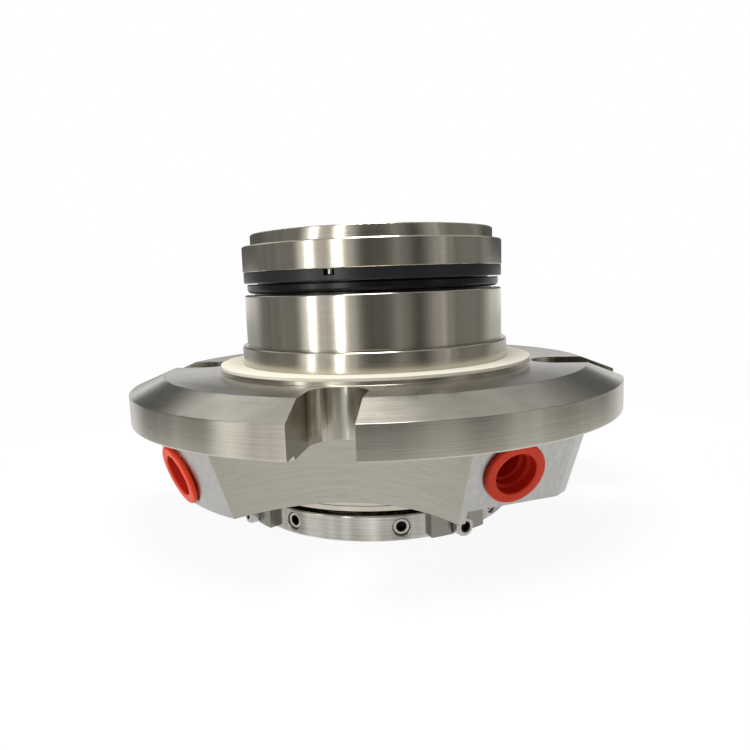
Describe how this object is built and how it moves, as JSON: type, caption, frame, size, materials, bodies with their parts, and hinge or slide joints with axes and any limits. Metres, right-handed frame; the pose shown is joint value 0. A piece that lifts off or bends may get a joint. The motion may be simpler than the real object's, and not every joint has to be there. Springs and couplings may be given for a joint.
{
  "type": "mechanical seal",
  "caption": "Double cartridge mechanical seal with a slotted bevelled flange, capped fluid ports, lapped faces on a shaft sleeve and a lock collar with setting clips.",
  "frame": {"origin": "on the shaft axis, at the foot of the lock collar that the seal stands on", "axes": "+Z along the shaft axis towards the pump side, X and Y through the four bolt slots, with the front slot of the picture at -Y"},
  "size_m": [0.189, 0.189, 0.1077],
  "materials": {
    "turned_steel": "turned stainless steel with fine rings around the axis",
    "flange_steel": "machined stainless steel, turned on the faces and milled in the scallops and port flats",
    "collar_steel": "turned stainless steel, bright edges",
    "clip_steel": "satin stainless steel",
    "screw_steel": "plain stainless steel screws",
    "spring_steel": "drawn wire",
    "dark_carbide": "silicon carbide, satin",
    "black_carbon": "carbon, semi-gloss black",
    "gasket_white": "off-white sheet gasket",
    "black_rubber": "moulded rubber",
    "red_plastic": "soft moulded polythene"
  },
  "bodies": {
    "gland": {"gland_plate": "flange_steel", "stator_barrel": "turned_steel", "gland_gasket": "gasket_white", "barrel_oring": "black_rubber", "barrel_dowel": "screw_steel", "stator_pins": "screw_steel", "inboard_springs": "spring_steel", "outboard_seat": "black_carbon", "outboard_seat_oring": "black_rubber", "seat_pin": "screw_steel", "cover_ring": "turned_steel", "port_plug_1": "red_plastic", "port_plug_2": "red_plastic", "port_plug_3": "red_plastic", "port_plug_4": "red_plastic"},
    "rotor": {"shaft_sleeve": "turned_steel", "shaft_oring": "black_rubber", "inboard_rotary_face": "dark_carbide", "inboard_face_oring": "black_rubber", "face_drive_pins": "screw_steel", "rotary_holder": "turned_steel", "holder_grub_screws": "screw_steel", "holder_drive_pins": "screw_steel", "outboard_springs": "spring_steel", "lock_collar": "collar_steel", "collar_grub_screws": "screw_steel", "setting_clip_1": "clip_steel", "setting_clip_2": "clip_steel", "setting_clip_3": "clip_steel", "setting_clip_4": "clip_steel", "clip_screws": "screw_steel"},
    "inboard_face": {"inboard_stationary_face": "black_carbon", "inboard_stator_oring": "black_rubber", "thrust_ring": "turned_steel"},
    "outboard_face": {"outboard_rotary_face": "dark_carbide", "outboard_face_oring": "black_rubber"}
  },
  "joints": [
    {"name": "rotor_spin", "type": "hinge", "parent": "gland", "child": "rotor", "pos_m": [0, 0, 0.05], "axis": [0, 0, 1], "continuous": true},
    {"name": "inboard_float", "type": "slide", "parent": "gland", "child": "inboard_face", "axis": [0, 0, 1], "range_m": [-0.0006, 0], "stiffness_N_per_m": 20000, "springref_m": 0.004, "deforming": ["inboard_springs"]},
    {"name": "outboard_float", "type": "slide", "parent": "rotor", "child": "outboard_face", "axis": [0, 0, 1], "range_m": [0, 0.001], "stiffness_N_per_m": 20000, "springref_m": -0.004, "deforming": ["outboard_springs"]}
  ]
}
